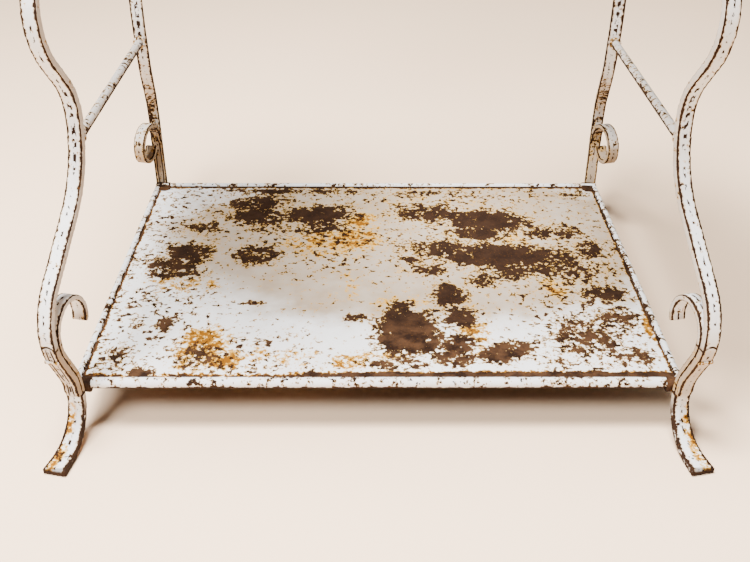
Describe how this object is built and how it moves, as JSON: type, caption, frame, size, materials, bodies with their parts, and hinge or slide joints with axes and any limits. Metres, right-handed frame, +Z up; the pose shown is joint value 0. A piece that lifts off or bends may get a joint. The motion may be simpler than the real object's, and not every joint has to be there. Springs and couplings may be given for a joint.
{
  "type": "wash basin stand",
  "caption": "Free-standing iron wash basin stand with S-shaped flat bar legs, scrolled feet, a low sheet shelf, side rods and a sheet top with a ringed basin hole.",
  "frame": {"origin": "on the floor, under the middle of the shelf and the top", "axes": "+Z up, the front looks along -Y, +X to the right as seen from the front"},
  "size_m": [0.6888, 0.6204, 0.759],
  "materials": {
    "painted_bar": "chipped white paint with rusted edges",
    "painted_rod": "chipped white paint with rust spots",
    "painted_sheet": "thin white paint over rust patches",
    "painted_weld": "painted weld with rust showing",
    "rusty_weld": "rusted weld"
  },
  "bodies": {
    "root": {"shelf_sheet": "painted_sheet", "shelf_front_rail": "painted_rod", "shelf_rear_rail": "painted_rod", "shelf_left_rail": "painted_rod", "shelf_right_rail": "painted_rod", "front_left_leg": "painted_bar", "front_right_leg": "painted_bar", "rear_left_leg": "painted_bar", "rear_right_leg": "painted_bar", "front_left_scroll_foot": "painted_bar", "front_right_scroll_foot": "painted_bar", "rear_left_scroll_foot": "painted_bar", "rear_right_scroll_foot": "painted_bar", "left_cross_rod": "painted_rod", "right_cross_rod": "painted_rod", "left_rod_collars": "painted_weld", "right_rod_collars": "painted_weld", "leg_crease_beads": "painted_weld", "shelf_corner_welds": "rusty_weld", "top_front_rail": "painted_rod", "top_rear_rail": "painted_rod", "top_left_rail": "painted_rod", "top_right_rail": "painted_rod", "top_corner_welds": "painted_weld", "top_sheet": "painted_sheet", "basin_ring": "painted_bar"}
  },
  "joints": []
}
